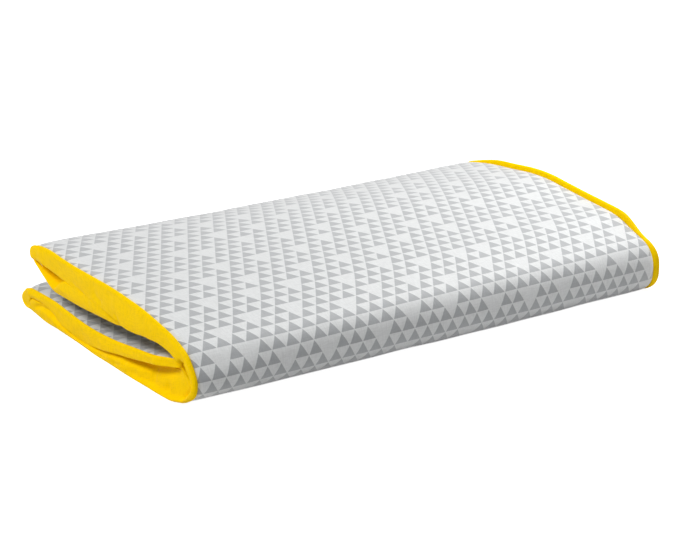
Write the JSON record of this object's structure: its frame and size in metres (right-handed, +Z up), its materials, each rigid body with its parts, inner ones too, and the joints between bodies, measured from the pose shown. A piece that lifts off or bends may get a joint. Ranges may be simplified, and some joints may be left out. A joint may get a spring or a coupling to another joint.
{
  "type": "ironing board cover",
  "caption": "Padded ironing board cover folded for storage: printed cotton over foam and felt, with a coloured elasticated band round its edge.",
  "frame": {"origin": "centre of the underside, on the surface that the folded cover lies on", "axes": "+X along the folds, from the left band to the right band; +Y from the rounded nose fold to the open back; +Z up"},
  "size_m": [0.459, 0.28, 0.068],
  "materials": {
    "printed_cotton": "plain-weave cotton, printed with pale grey triangles, matt",
    "band_cotton": "plain-weave cotton, dyed yellow, matt",
    "foam_sheet": "open-cell foam sheet",
    "felt": "needled felt",
    "elastic_tape": "woven elastic tape",
    "satin_label": "blank satin ribbon"
  },
  "bodies": {
    "lower": {"lower_printed_cover": "printed_cotton", "lower_foam_pad": "foam_sheet", "lower_felt_lining": "felt", "lower_band_left": "band_cotton", "lower_band_right": "band_cotton", "lower_hem_elastic_left": "elastic_tape", "lower_hem_elastic_right": "elastic_tape", "lower_end_band": "band_cotton", "lower_end_elastic": "elastic_tape", "care_label_blank": "satin_label"},
    "nose": {"nose_printed_cover": "printed_cotton", "nose_foam_pad": "foam_sheet", "nose_felt_lining": "felt", "nose_band_left": "band_cotton", "nose_band_right": "band_cotton", "nose_hem_elastic_left": "elastic_tape", "nose_hem_elastic_right": "elastic_tape"},
    "top": {"top_printed_cover": "printed_cotton", "top_foam_pad": "foam_sheet", "top_felt_lining": "felt", "top_band_left": "band_cotton", "top_band_right": "band_cotton", "top_hem_elastic_left": "elastic_tape", "top_hem_elastic_right": "elastic_tape", "top_end_band": "band_cotton", "top_end_elastic": "elastic_tape"}
  },
  "joints": [
    {"name": "nose_fold_lower", "type": "hinge", "parent": "lower", "child": "nose", "pos_m": [0, -0.13312, 0.00688], "axis": [1, 0, 0], "range_deg": [0, 90]},
    {"name": "nose_fold_upper", "type": "hinge", "parent": "nose", "child": "top", "pos_m": [0, -0.13312, 0.04012], "axis": [1, 0, 0], "range_deg": [0, 79]}
  ],
  "couplings": [
    {"joint": "nose_fold_upper", "follows": "nose_fold_lower", "ratio": 0.8777}
  ]
}
